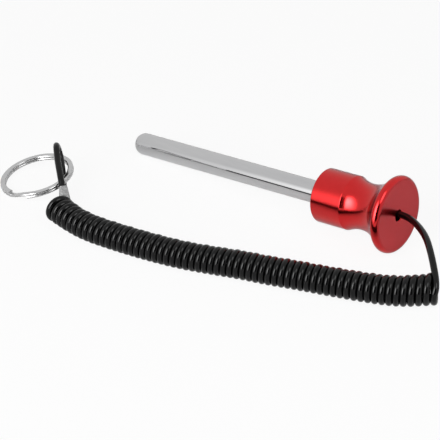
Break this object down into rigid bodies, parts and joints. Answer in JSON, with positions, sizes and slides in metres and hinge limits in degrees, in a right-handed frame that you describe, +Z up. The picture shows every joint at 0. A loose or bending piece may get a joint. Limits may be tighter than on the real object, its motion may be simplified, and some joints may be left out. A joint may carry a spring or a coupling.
{
  "type": "weight stack pin",
  "caption": "Weight stack selector pin: chromed rod in a turned red knob, with a coiled black cord from the knob's face to a crimped loop and a split ring.",
  "frame": {"origin": "on the floor that the pin lies on, under the middle of rod and knob", "axes": "the pin lies along X in the XZ plane, rod tip at -X and knob face at +X; +Z up"},
  "size_m": [0.205, 0.0921, 0.0324],
  "materials": {
    "chromed_steel": "polished chrome plate",
    "red_anodised": "red anodised, glossy on the turned side and satin on the end face",
    "stop_metal": "plain, crimped",
    "black_cord": "smooth black, soft gloss",
    "ferrule_metal": "dull light grey, pressed",
    "ring_metal": "bright nickel plate"
  },
  "bodies": {
    "pin_and_cord": {"pin_rod": "chromed_steel", "knob": "red_anodised", "cord_stop": "stop_metal", "cord_tail": "black_cord", "cord_coil": "black_cord", "cord_loop": "black_cord", "ferrule": "ferrule_metal"},
    "ring": {"split_ring": "ring_metal"}
  },
  "joints": [
    {"name": "ring_turn", "type": "hinge", "parent": "pin_and_cord", "child": "ring", "pos_m": [-0.08426, -0.04927, 0.00458], "axis": [-0.1613, -0.1528, 0.975], "continuous": true}
  ]
}
